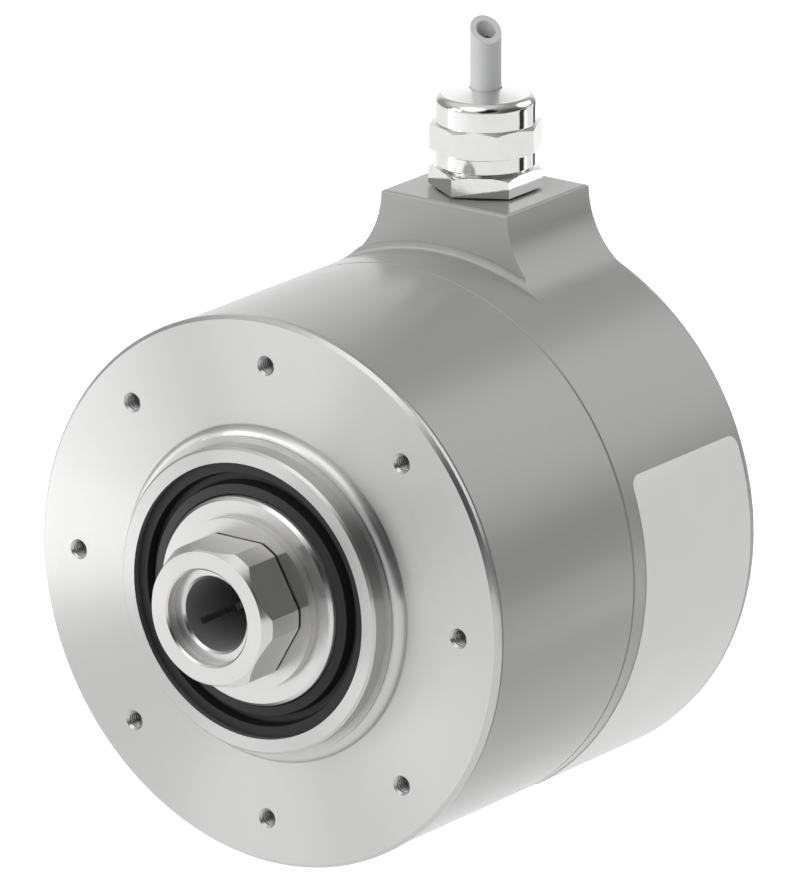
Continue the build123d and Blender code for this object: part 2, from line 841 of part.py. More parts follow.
# Clamping nut on the shaft's nose
with BuildPart() as clamp_nut:
    with BuildSketch(across(nut_back)):
        RegularPolygon(nut_across_flats / 2, 6, major_radius=False)
    extrude(amount=nut_back - nut_front)
    with BuildSketch(Plane.XY):
        with BuildLine():
            Polyline(
                (0, nut_front),
                (nut_across_flats / 2 - nut_face_inset, nut_front),
                (nut_corner_radius - nut_corner_trim, nut_front + nut_chamfer_length),
                (nut_corner_radius - nut_corner_trim, nut_back),
                (0, nut_back),
                close=True,
            )
        make_face()
    revolve(axis=Axis.Y, mode=Mode.INTERSECT)
    with BuildSketch(Plane.XY):
        with BuildLine():
            Polyline(
                (0, nut_front),
                (nut_lip_radius + nut_lip_chamfer, nut_front),
                (nut_lip_radius, nut_front + nut_lip_chamfer),
                (nut_lip_radius, nut_front + nut_lip_length),
                (nose_radius + slip, nut_front + nut_lip_length),
                (nose_radius + slip, nut_back),
                (0, nut_back),
                close=True,
            )
        make_face()
    revolve(axis=Axis.Y, mode=Mode.SUBTRACT)
export(clamp_nut.part, "clamp_nut")

# Hub of the code disc, on the back end of the shaft
with BuildPart() as disc_hub:
    with BuildSketch(Plane.XY):
        with BuildLine():
            Polyline(
                (disc_seat_radius + seat, disc_hub_front),
                (disc_hub_neck_radius, disc_hub_front),
                (disc_hub_neck_radius, disc_face_y - disc_hub_flange),
                (disc_hub_radius, disc_face_y - disc_hub_flange),
                (disc_hub_radius, disc_face_y),
                (disc_pilot_radius, disc_face_y),
                (disc_pilot_radius, disc_face_y + disc_pilot_length),
                (disc_seat_radius + seat, disc_face_y + disc_pilot_length),
                close=True,
            )
        make_face()
    revolve(axis=Axis.Y)
    with BuildSketch(across(disc_face_y + disc_pilot_length)):
        with PolarLocations(disc_screw_circle_radius, disc_screw_count, start_angle=90):
            Circle(disc_screw_radius + thread_gap)
    extrude(amount=disc_screw_length, mode=Mode.SUBTRACT)
export(disc_hub.part, "disc_hub")

turned_ring("code_disc", disc_pilot_radius + slip, disc_radius, disc_face_y, disc_back)

# Ring that holds the disc on its hub
with BuildPart() as disc_clamp_ring:
    with BuildSketch(across(disc_back)):
        Circle(disc_hub_radius)
        Circle(disc_seat_radius + slip, mode=Mode.SUBTRACT)
        with PolarLocations(disc_screw_circle_radius, disc_screw_count, start_angle=90):
            Circle(disc_screw_radius + slip, mode=Mode.SUBTRACT)
    extrude(amount=-disc_ring_thickness)
export(disc_clamp_ring.part, "disc_clamp_ring")

# Screws of the clamping ring
with BuildPart() as disc_screws:
    with BuildSketch(across(disc_screw_seat)):
        with PolarLocations(disc_screw_circle_radius, disc_screw_count, start_angle=90):
            Circle(disc_screw_head_radius)
    extrude(amount=-disc_screw_head_length)
    with BuildSketch(across(disc_screw_seat)):
        with PolarLocations(disc_screw_circle_radius, disc_screw_count, start_angle=90):
            Circle(disc_screw_radius)
    extrude(amount=disc_screw_length)
export(disc_screws.part, "disc_screws")

# Hexagonal standoffs between the carrier ring and the circuit board
with BuildPart() as board_standoffs:
    with BuildSketch(across(carrier_back)):
        for angle in standoff_angles:
            with PolarLocations(standoff_circle_radius, 1, start_angle=angle):
                RegularPolygon(standoff_across_flats / 2, 6, major_radius=False)
    extrude(amount=carrier_back - board_front)
    with BuildSketch(across(carrier_back)):
        for angle in standoff_angles:
            with PolarLocations(standoff_circle_radius, 1, start_angle=angle):
                Circle(board_screw_radius)
    extrude(amount=carrier_ring_length)
    with BuildSketch(across(board_front)):
        for angle in standoff_angles:
            with PolarLocations(standoff_circle_radius, 1, start_angle=angle):
                Circle(board_screw_radius + thread_gap)
    extrude(amount=board_screw_length, mode=Mode.SUBTRACT)
export(board_standoffs.part, "board_standoffs")

# Circuit board, notched round the cover's screws
with BuildPart() as circuit_board:
    with BuildSketch(across(board_front)):
        Circle(board_radius)
        for angle in tie_angles:
            with PolarLocations(tie_circle_radius, 1, start_angle=angle):
                Circle(tie_radius + tie_notch_gap, mode=Mode.SUBTRACT)
        for angle in standoff_angles:
            with PolarLocations(standoff_circle_radius, 1, start_angle=angle):
                Circle(board_screw_radius + slip, mode=Mode.SUBTRACT)
    extrude(amount=-board_thickness)
export(circuit_board.part, "circuit_board")

# Screws of the circuit board
with BuildPart() as board_screws:
    with BuildSketch(across(board_back)):
        for angle in standoff_angles:
            with PolarLocations(standoff_circle_radius, 1, start_angle=angle):
                Circle(board_screw_head_radius)
    extrude(amount=-board_screw_head_length)
    with BuildSketch(across(board_back)):
        for angle in standoff_angles:
            with PolarLocations(standoff_circle_radius, 1, start_angle=angle):
                Circle(board_screw_radius)
    extrude(amount=board_screw_length)
export(board_screws.part, "board_screws")

# Lamp holder in front of the code disc
with BuildPart() as lamp_holder:
    with BuildSketch(across(carrier_back)):
        with Locations((0, -optic_radius)):
            Rectangle(optic_width, optic_height)
    extrude(amount=carrier_back - lamp_back)
    with BuildSketch(across(lamp_back)):
        with Locations((0, -optic_radius)):
            Circle(lens_radius + slip)
    extrude(amount=lens_recess, mode=Mode.SUBTRACT)
export(lamp_holder.part, "lamp_holder")

# Condenser lens in the lamp holder
lens_sphere = (lens_radius**2 + lens_crown**2) / (2 * lens_crown)
with BuildPart() as condenser_lens:
    with BuildSketch(Plane.XY):
        with BuildLine():
            Polyline(
                (0, lamp_back + lens_crown - lens_recess / 2),
                (0, lamp_back - lens_recess),
                (lens_radius, lamp_back - lens_recess),
                (lens_radius, lamp_back - lens_recess / 2),
            )
            RadiusArc(
                (lens_radius, lamp_back - lens_recess / 2),
                (0, lamp_back + lens_crown - lens_recess / 2),
                -lens_sphere,
            )
        make_face()
    revolve(axis=Axis.Y)
condenser_lens_seated = condenser_lens.part.moved(Location((0, 0, -optic_radius)))
export(condenser_lens_seated, "condenser_lens")

# Scanning mask behind the code disc, on the carrier of the photo sensor
with BuildPart() as scanning_mask:
    with BuildSketch(across(mask_front)):
        with Locations((0, -optic_radius)):
            Rectangle(optic_width, optic_height)
    extrude(amount=-mask_thickness)
export(scanning_mask.part, "scanning_mask")

with BuildPart() as sensor_carrier:
    with BuildSketch(across(mask_front + mask_thickness)):
        with Locations((0, -optic_radius)):
            Rectangle(optic_width, optic_height)
    extrude(amount=mask_front + mask_thickness - board_front)
export(sensor_carrier.part, "sensor_carrier")

# Chips on the back of the board
with BuildPart() as board_chips:
    with BuildSketch(across(board_back)):
        for chip_x, chip_z, chip_width, chip_height in chip_places:
            with Locations((chip_x, chip_z)):
                Rectangle(chip_width, chip_height)
    extrude(amount=-chip_thickness)
export(board_chips.part, "board_chips")

# Connector that takes the cable's cores from above
with BuildPart() as lead_connector:
    with BuildSketch(across(board_back)):
        with Locations((0, connector_bottom + connector_height / 2)):
            Rectangle(connector_width, connector_height)
    extrude(amount=-connector_length)
export(lead_connector.part, "lead_connector")

# Socket-head screws that hold the rear cover
with BuildPart() as cover_screws:
    with BuildSketch(across(head_seat)):
        for angle in tie_angles:
            with PolarLocations(tie_circle_radius, 1, start_angle=angle):
                Circle(tie_head_radius)
    extrude(amount=-tie_head_length)
    with BuildSketch(across(head_seat)):
        for angle in tie_angles:
            with PolarLocations(tie_circle_radius, 1, start_angle=angle):
                Circle(tie_radius)
    extrude(amount=head_seat - tie_front)
    with BuildSketch(across(head_seat + tie_head_length)):
        for angle in tie_angles:
            with PolarLocations(tie_circle_radius, 1, start_angle=angle):
                RegularPolygon(socket_across_flats / 2, 6, major_radius=False)
    extrude(amount=socket_depth, mode=Mode.SUBTRACT)
export(cover_screws.part, "cover_screws")

# Gasket under the gland
with BuildPart() as gland_gasket:
    with BuildSketch(level(boss_top)):
        Circle(gland_across_flats / 2)
        Circle(gland_thread_radius + slip, mode=Mode.SUBTRACT)
    extrude(amount=gland_gasket_height)
export(gland_gasket.part, "gland_gasket")

# Gland body: hexagon, thread into the boss below and neck with the seal's cup above
with BuildPart() as gland_body:
    with BuildSketch(level(gland_hex_bottom)):
        RegularPolygon(gland_across_flats / 2, 6, major_radius=False, rotation=gland_hex_turn)
    extrude(amount=gland_hex_height)
    with BuildSketch(gland_section):
        with BuildLine():
            Polyline(
                (0, gland_hex_bottom),
                (gland_corner_radius, gland_hex_bottom),
                (gland_corner_radius, gland_hex_top - gland_hex_chamfer),
                (gland_corner_radius - 2 * gland_hex_chamfer, gland_hex_top),
                (0, gland_hex_top),
                close=True,
            )
        make_face()
    revolve(axis=gland_axis, mode=Mode.INTERSECT)
    with BuildSketch(level(gland_hex_bottom)):
        Circle(gland_thread_radius)
    extrude(amount=-gland_thread_length)
    with BuildSketch(level(gland_hex_top)):
        Circle(gland_neck_radius)
    extrude(amount=gland_neck_height)
    with BuildSketch(level(gland_neck_top)):
        Circle(gland_cup_radius)
    extrude(amount=-gland_neck_height, mode=Mode.SUBTRACT)
    with BuildSketch(level(gland_hex_top)):
        Circle(gland_bore_radius)
    extrude(amount=-gland_hex_height - gland_thread_length, mode=Mode.SUBTRACT)
export(gland_body.part, "gland_body")

# Sealing sleeve round the cable
with BuildPart() as gland_seal:
    with BuildSketch(level(gland_hex_top)):
        Circle(gland_seal_radius)
        Circle(cable_radius + seat, mode=Mode.SUBTRACT)
    extrude(amount=gland_seal_height)
export(gland_seal.part, "gland_seal")

# Clamping cage: slit fingers that the nut's cone presses onto the seal
with BuildPart() as gland_cage:
    with BuildSketch(gland_section):
        with BuildLine():
            Polyline(
                (gland_seal_radius + seat, gland_hex_top),
                (gland_cup_radius - slip, gland_hex_top),
                (gland_cup_radius - slip, gland_neck_top + gland_finger_shoulder),
                (gland_seal_radius + seat + gland_finger_tip, gland_finger_top),
                (gland_seal_radius + seat, gland_finger_top),
                close=True,
            )
        make_face()
    revolve(axis=gland_axis)
    with BuildSketch(level(gland_finger_top)):
        with PolarLocations(gland_cup_radius / 2 + slit_overrun, gland_finger_count):
            Rectangle(gland_cup_radius + 2 * slit_overrun, gland_finger_slit)
    extrude(amount=gland_hex_top + gland_finger_root - gland_finger_top, mode=Mode.SUBTRACT)
export(gland_cage.part, "gland_cage")

# Gland nut: eight flats between a round skirt and a crowned top
with BuildPart() as gland_nut:
    with BuildSketch(level(gland_skirt_top)):
        RegularPolygon(gland_nut_corner_radius, gland_nut_sides, rotation=gland_nut_turn)
    extrude(amount=gland_nut_hex_height)
    with BuildSketch(gland_section):
        with BuildLine():
            Polyline(
                (0, gland_skirt_top),
                (gland_nut_corner_radius - 2 * gland_hex_chamfer, gland_skirt_top),
                (gland_nut_corner_radius, gland_skirt_top + gland_hex_chamfer),
                (gland_nut_corner_radius, gland_nut_hex_top - gland_hex_chamfer),
                (gland_nut_corner_radius - 2 * gland_hex_chamfer, gland_nut_hex_top),
                (0, gland_nut_hex_top),
                close=True,
            )
        make_face()
    revolve(axis=gland_axis, mode=Mode.INTERSECT)
    with BuildSketch(gland_section):
        with BuildLine():
            Polyline(
                (0, gland_top),
                (0, gland_nut_bottom),
                (gland_skirt_radius, gland_nut_bottom),
                (gland_skirt_radius, gland_crown_shoulder),
            )
            TangentArc(
                (gland_skirt_radius, gland_crown_shoulder),
                (gland_crown_top_radius, gland_crown_edge),
                tangent=(0, 1),
            )
            Polyline(
                (gland_crown_top_radius, gland_crown_edge),
                (gland_mouth_radius, gland_top),
                (0, gland_top),
            )
        make_face()
    revolve(axis=gland_axis)
    with BuildSketch(gland_section):
        with BuildLine():
            Polyline(
                (0, gland_nut_bottom),
                (gland_neck_radius + thread_gap, gland_nut_bottom),
                (gland_neck_radius + thread_gap, gland_neck_top + gland_nut_room),
                (gland_cup_radius + slip, gland_neck_top + gland_nut_room),
                (gland_seal_radius + gland_cone_gap, gland_finger_top + gland_cone_clearance),
                (gland_mouth_radius, gland_top - gland_mouth_length),
                (gland_mouth_radius, gland_top),
                (0, gland_top),
                close=True,
            )
        make_face()
    revolve(axis=gland_axis, mode=Mode.SUBTRACT)
export(gland_nut.part, "gland_nut")

# Cable jacket, cut off at a slant above the gland
cut_lean = radians(cable_cut_tilt)
cut_way = radians(cable_cut_bearing)
cable_cut = Plane(
    (0, gland_y, cable_cut_z),
    z_dir=(sin(cut_lean) * cos(cut_way), sin(cut_lean) * sin(cut_way), cos(cut_lean)),
)
with BuildPart() as cable_jacket:
    with BuildSketch(level(cable_bottom)):
        Circle(cable_radius)
        Circle(cable_bore_radius, mode=Mode.SUBTRACT)
    extrude(amount=cable_cut_z + 2 * cable_radius - cable_bottom)
    split(bisect_by=cable_cut, keep=Keep.BOTTOM)
export(cable_jacket.part, "cable_jacket")

# Cores of the cable, straight down to the connector
with BuildPart() as cable_cores:
    with BuildSketch(level(connector_top)):
        Circle(core_radius)
        with PolarLocations(core_circle_radius, 6):
            Circle(core_radius)
    extrude(amount=core_top - connector_top)
export(cable_cores.part, "cable_cores")
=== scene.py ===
"""Looks of the incremental rotary encoder: finishes, thread ridges and the studio."""

import json
from math import cos, pi, radians, sin

import bmesh
import bpy
from mathutils import Matrix, Vector


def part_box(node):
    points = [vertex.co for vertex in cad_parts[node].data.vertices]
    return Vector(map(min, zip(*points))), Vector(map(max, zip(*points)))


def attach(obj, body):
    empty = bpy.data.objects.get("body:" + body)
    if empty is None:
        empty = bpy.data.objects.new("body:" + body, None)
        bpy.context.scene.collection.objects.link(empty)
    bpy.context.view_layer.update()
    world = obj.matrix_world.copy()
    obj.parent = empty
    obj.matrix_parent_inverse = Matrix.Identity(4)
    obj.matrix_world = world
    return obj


MM = 0.001
Y, Z = 1, 2

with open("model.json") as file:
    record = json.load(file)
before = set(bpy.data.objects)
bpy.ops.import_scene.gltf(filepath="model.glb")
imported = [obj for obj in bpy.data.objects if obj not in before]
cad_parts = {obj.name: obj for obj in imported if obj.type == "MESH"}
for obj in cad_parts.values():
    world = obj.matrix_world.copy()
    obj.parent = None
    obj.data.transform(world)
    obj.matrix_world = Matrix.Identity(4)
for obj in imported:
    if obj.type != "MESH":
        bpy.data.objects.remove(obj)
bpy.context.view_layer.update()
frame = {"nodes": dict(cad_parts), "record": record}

# Camera, fitted to the two rims, the tapped holes and the cable boss
CAMERA_AZIMUTH = radians(36.61)
CAMERA_ELEVATION = radians(17.60)
CAMERA_DISTANCE = 1.824
CAMERA_REACH = 50.0
PIXELS_PER_MM = 6.353
IMAGE_SIZE = (800, 880)
ORIGIN_PIXEL = (266.35, 593.41)
SENSOR_MM = 36.0

# Studio, in metres; levels are linear, 1 is white
FLOOR_DROP = 0.30
FLOOR_SIZE = 14.0
FLOOR_LEVEL = 0.75
FLOOR_GLOW = 0.50
ROOM_LEVEL = 0.42
ROOM_DARKEST = 0.02
ROOM_BRIGHTEST = 8.0

# Direction, angle of the even core, angle where it has faded, and strength of each panel or cloth
ROOM_PANELS = {
    "panel_right_back": ((0.42, 0.765, 0.46), 10, 26, 1.9),
    "panel_left_back": ((-0.62, 0.765, 0.15), 14, 40, 0.7),
    "cloth_right": ((0.95, 0.10, 0.15), 14, 45, -0.30),
    "cloth_front": ((0.52, -0.69, 0.50), 12, 30, -0.50),
    "panel_overhead": ((-0.3, -0.3, 1.0), 18, 55, 0.55),
    "panel_high_front": ((0.0, -0.72, 0.70), 14, 32, 1.4),
    "panel_low_front": ((0.0, -0.99, 0.02), 12, 30, 0.30),
}

# Dark cards that only reflections show: azimuth and elevation in degrees, width and height
CARD_DISTANCE = 0.85
CARD_LEVEL = 0.05
DARK_CARDS = {
    "card_right": (38, -11, 0.26, 0.34),
    "card_back_right": (91, -11, 0.20, 0.34),
}

# Lamps: place, target, width and height, and power in watts
LAMPS = {
    "key": ((-1.0, -1.42, 0.44), (0, 0, 0), 0.8, 0.55, 5.7),
    "left": ((-0.17, -0.095, 0.005), (-0.02, 0, 0), 0.06, 0.14, 0.055),
    "streak_left": ((-0.15, -0.09, -0.045), (-0.03, 0, 0), 0.04, 0.04, 0.006),
    "strip_right": ((0.40, 0.54, -0.18), (0, 0.03, 0), 0.16, 0.16, 0.09),
}

# Places on the part, taken from the frame
FLANGE_LOW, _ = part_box("flange")
GLAND_LOW, GLAND_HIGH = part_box("gland_body")
GLAND_Y = (GLAND_LOW.y + GLAND_HIGH.y) / 2
NECK_BELOW_NUT = 0.7 * MM
NECK_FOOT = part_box("gland_nut")[0].z - NECK_BELOW_NUT

# Threads: radius of the ridge's middle, pitch, turns and ridge size, all in mm
TAPPED_COUNT = 8
TAPPED_CIRCLE = 37.5
TAPPED_THREAD = {"Radius": 1.25, "Pitch": 0.5, "Turns": 12.0, "Ridge": 0.17}
TAPPED_START = 0.55
NECK_THREAD = {"Radius": 7.05, "Pitch": 0.3, "Turns": 2.0, "Ridge": 0.14}
POINTS_PER_TURN = 20
RIDGE_SIDES = 4


# Nodes and shader maths

# Sockets of a Mix node that mixes colours
MIX_FACTOR, MIX_FIRST, MIX_SECOND = 0, 6, 7
MIX_RESULT = 2


class Wire:
    """A node's socket that stands in Python expressions; each operator adds one Math node."""

    def __init__(self, tree, socket):
        self.tree = tree
        self.socket = socket

    def math(self, operation, *values):
        return math_node(self.tree, operation, self, *values)

    def __add__(self, other):
        return self.math("ADD", other)

    __radd__ = __add__

    def __sub__(self, other):
        return self.math("SUBTRACT", other)

    def __rsub__(self, other):
        return math_node(self.tree, "SUBTRACT", other, self)

    def __mul__(self, other):
        return self.math("MULTIPLY", other)

    __rmul__ = __mul__

    def __truediv__(self, other):
        return self.math("DIVIDE", other)

    def __rtruediv__(self, other):
        return math_node(self.tree, "DIVIDE", other, self)

    def __abs__(self):
        return self.math("ABSOLUTE")

    def clamped(self, low=0.0, high=1.0):
        return self.math("MAXIMUM", low).math("MINIMUM", high)

    def ramp(self, start, end):
        """0 below start, 1 above end, smooth between them."""
        rise = ((self - start) / (end - start)).clamped()
        return rise * rise * (3.0 - 2.0 * rise)

    def swing(self, depth):
        """A pattern between 0 and 1, made a change of this depth about 0."""
        return (self - 0.5) * depth


def plug(tree, slot, value):
    """Sets a socket to a value, or links it to a wire or to another node's socket."""
    if isinstance(value, Wire):
        value = value.socket
    if isinstance(value, bpy.types.NodeSocket):
        tree.links.new(value, slot)
    else:
        slot.default_value = value


def math_node(tree, operation, *values):
    node = tree.nodes.new("ShaderNodeMath")
    node.operation = operation
    for slot, value in zip(node.inputs, values):
        plug(tree, slot, value)
    return Wire(tree, node.outputs[0])


def any_node(tree, kind, settings=None, **sockets):
    """Any node: its settings first, then the values or links of its sockets."""
    node = tree.nodes.new(kind)
    for key, value in (settings or {}).items():
        setattr(node, key, value)
    for label, value in sockets.items():
        plug(tree, node.inputs[label.replace("_", " ")], value)
    return node


class Finish:
    """A material under construction: its shader, and the nodes that vary it."""

    def __init__(self, name, **constants):
        self.material = bpy.data.materials.new(name)
        self.material.use_nodes = True
        self.tree = self.material.node_tree
        self.tree.nodes.clear()
        output = self.node("ShaderNodeOutputMaterial")
        self.shader = self.node("ShaderNodeBsdfPrincipled")
        self.tree.links.new(self.shader.outputs["BSDF"], output.inputs["Surface"])
        for socket, value in constants.items():
            self.set(socket.replace("_", " "), value)
        self.surface = self.node("ShaderNodeTexCoord").outputs

    def node(self, kind, settings=None, **sockets):
        return any_node(self.tree, kind, settings, **sockets)

    def wire(self, node, output=0):
        return Wire(self.tree, node.outputs[output])

    def set(self, socket, value):
        plug(self.tree, self.shader.inputs[socket], value)

    def axes(self):
        """Object coordinates in millimetres, as three wires."""
        parts = self.node("ShaderNodeSeparateXYZ", Vector=self.surface["Object"])
        return [self.wire(parts, index) / MM for index in range(3)]

    def point(self, x, y, z):
        return self.wire(self.node("ShaderNodeCombineXYZ", X=x, Y=y, Z=z))

    def spot(self):
        """Object coordinates in millimetres, as one vector."""
        return self.point(*self.axes())

    def facing(self, axis):
        """How far the surface faces along an axis, from -1 to 1."""
        parts = self.node("ShaderNodeSeparateXYZ", Vector=self.surface["Normal"])
        return self.wire(parts, axis)

    def noise(self, where, scale, detail=2.0, roughness=0.5):
        pattern = self.node(
            "ShaderNodeTexNoise", Vector=where, Scale=scale, Detail=detail, Roughness=roughness
        )
        return self.wire(pattern)

    def blend(self, factor, first, second):
        """Colour between two colours."""
        node = self.node("ShaderNodeMix", {"data_type": "RGBA"})
        plug(self.tree, node.inputs[MIX_FACTOR], factor)
        plug(self.tree, node.inputs[MIX_FIRST], first)
        plug(self.tree, node.inputs[MIX_SECOND], second)
        return self.wire(node, MIX_RESULT)

    def bump(self, height, distance, strength=1.0):
        node = self.node("ShaderNodeBump", Height=height, Distance=distance, Strength=strength)
        self.set("Normal", self.wire(node))


def grey(level):
    return (level, level, level, 1.0)


def shades(colour, depth):
    """A darker and a lighter colour about one colour."""
    dark = [channel * (1 - depth) for channel in colour]
    light = [min(1.0, channel * (1 + depth)) for channel in colour]
    return (*dark, 1.0), (*light, 1.0)


# Finishes: noise scales are per mm, bump distances in mm

ACROSS_THE_GROOVES = 0.25   # of a turn, from along the tool marks
RING_SHARE = 0.6            # of the tint; the rest is cloud
RING_ROUGHNESS = 0.16
BROAD_BANDS = 0.55
BROAD_ROUGHNESS = 0.06
METAL_CLOUD = 0.11
BORE_EDGE = 6.05            # mm; inside it the bore is painted dark as the shade of the deep hole, and is dull
BORE_FADE = 0.08
# Painted shade: the colour of the inside of the bore
BORE_SHADE_LEVEL = 0.10
BORE_ROUGHNESS = 0.4
MILLED_SLOPE = (0.6, 0.95)  # how far a face is turned from the shaft axis, as its cosine

PAINT_SHADES = (0.308, 0.306, 0.297, 1.0), (0.346, 0.344, 0.335, 1.0)
PAINT_ROUGHNESS = 0.34
NICKEL_SHADES = (0.60, 0.597, 0.585, 1.0), (0.68, 0.677, 0.663, 1.0)
# Painted highlight: the paler colour of faces that look up
NICKEL_LIT_TOP = (0.86, 0.857, 0.845, 1.0)
NICKEL_LIT_TOP_SLOPE = (0.90, 0.99)
NICKEL_ROUGHNESS = 0.075
NICKEL_TOP_ROUGHNESS = 0.14
FILM_SHADES = (0.87, 0.87, 0.855, 1.0), (0.93, 0.93, 0.915, 1.0)
FILM_ROUGHNESS = 0.42
GLASS_SHADES = (0.86, 0.93, 0.92, 1.0), (0.93, 0.97, 0.96, 1.0)


def turned_metal(
    name, colour, roughness, anisotropy, ring_depth, ring_scale, tint_depth, milled_roughness=0.0
):
    """Metal turned about the shaft axis, with circular tool marks; its milled sides are rougher."""
    finish = Finish(name, Anisotropic=anisotropy, Anisotropic_Rotation=ACROSS_THE_GROOVES)
    x, y, z = finish.axes()
    radius = (x * x + z * z).math("SQRT")
    rings = finish.noise(finish.point(radius * ring_scale, y * ring_scale, 0.0), 1.0, 3.0, 0.65)
    broad = finish.noise(finish.point(radius * BROAD_BANDS, y * BROAD_BANDS, 0.0), 1.0, 2.0)
    cloud = finish.noise(finish.point(x, y, z), METAL_CLOUD, 3.0)
    dark, light = shades(colour, tint_depth)
    bare = finish.blend(rings * RING_SHARE + cloud * (1 - RING_SHARE), dark, light)
    # Painted shade: inside the bore the colour goes nearly black, with less metal and more
    # roughness
    bore_shade = (BORE_EDGE - radius).ramp(0.0, BORE_FADE)
    finish.set("Base Color", finish.blend(bore_shade, bare, grey(BORE_SHADE_LEVEL)))
    finish.set("Metallic", 1.0 - bore_shade)
    milled = (1.0 - abs(finish.facing(Y))).ramp(*MILLED_SLOPE) * milled_roughness
    tool_marks = rings.swing(RING_ROUGHNESS) + broad.swing(BROAD_ROUGHNESS)
    finish.set("Roughness", tool_marks + roughness + bore_shade * BORE_ROUGHNESS + milled)
    finish.bump((rings + broad * 0.5) * (1.0 - bore_shade), ring_depth * MM)
    tangent = finish.node("ShaderNodeTangent", {"direction_type": "RADIAL", "axis": "Y"})
    finish.set("Tangent", finish.wire(tangent))
    return finish.material


def housing_paint():
    """Satin grey paint with a faint orange peel."""
    finish = Finish("housing_paint", Specular_IOR_Level=0.5, Coat_Weight=0.6, Coat_Roughness=0.22)
    spot = finish.spot()
    peel = finish.noise(spot, 1.5, 2.0)
    cloud = finish.noise(spot, 0.05, 3.0)
    grain = finish.noise(spot, 9.0, 1.0)
    finish.set("Base Color", finish.blend(cloud * 0.6 + grain * 0.4, *PAINT_SHADES))
    finish.set("Roughness", peel.swing(0.08) + cloud.swing(0.08) + PAINT_ROUGHNESS)
    finish.bump(peel + grain * 0.25, 0.02 * MM, 0.5)
    return finish.material


def nickel_plate():
    """Bright nickel with the soft waviness of plating; faces that look up are painted paler, a
    painted highlight of the light from above, and are duller.
    """
    finish = Finish("nickel_plate", Metallic=1.0)
    spot = finish.spot()
    wave = finish.noise(spot, 0.45, 2.0)
    speck = finish.noise(spot, 6.0, 2.0)
    # Faces that look up get a paler colour as a painted highlight, and more roughness
    lit_top = finish.facing(Z).ramp(*NICKEL_LIT_TOP_SLOPE)
    side = finish.blend(wave, *NICKEL_SHADES)
    finish.set("Base Color", finish.blend(lit_top, side, NICKEL_LIT_TOP))
    uneven = speck.swing(0.05) + wave.swing(0.03)
    finish.set("Roughness", uneven + NICKEL_ROUGHNESS + lit_top * NICKEL_TOP_ROUGHNESS)
    finish.bump(wave, 0.03 * MM, 0.4)
    return finish.material


def rubber(name, level, roughness):
    """Rubber with a fine grain and a little dust."""
    finish = Finish(name, Specular_IOR_Level=0.25)
    spot = finish.spot()
    grain = finish.noise(spot, 4.0, 3.0)
    dust = finish.noise(spot, 0.35, 3.0)
    finish.set("Base Color", finish.blend(dust, grey(level * 0.75), grey(level * 1.3)))
    finish.set("Roughness", grain.swing(0.14) + roughness)
    finish.bump(grain, 0.02 * MM, 0.5)
    return finish.material


def label_film():
    """Bare pale film with a faint fibre."""
    finish = Finish("label_film", Specular_IOR_Level=0.4)
    x, y, z = finish.axes()
    fibre = finish.noise(finish.point(x * 0.5, y * 3.0, z * 0.5), 2.0, 3.0)
    cloud = finish.noise(finish.point(x, y, z), 0.09, 2.0)
    finish.set("Base Color", finish.blend(cloud, *FILM_SHADES))
    finish.set("Roughness", fibre.swing(0.12) + FILM_ROUGHNESS)
    finish.bump(fibre, 0.008 * MM, 0.4)
    return finish.material


def moulded(name, colour, roughness, shade_depth=0.15):
    """Moulded plastic with a fine eroded grain."""
    finish = Finish(name, Specular_IOR_Level=0.45)
    spot = finish.spot()
    grain = finish.noise(spot, 3.5, 3.0)
    cloud = finish.noise(spot, 0.2, 2.0)
    finish.set("Base Color", finish.blend(cloud, *shades(colour, shade_depth)))
    finish.set("Roughness", grain.swing(0.15) + roughness)
    finish.bump(grain, 0.02 * MM, 0.5)
    return finish.material


def glass():
    """Clear glass of the lens, the mask and the disc."""
    finish = Finish("clear_glass", Transmission_Weight=1.0, IOR=1.5)
    haze = finish.noise(finish.spot(), 0.6, 2.0)
    finish.set("Base Color", finish.blend(haze, *GLASS_SHADES))
    finish.set("Roughness", haze * 0.06 + 0.02)
    return finish.material


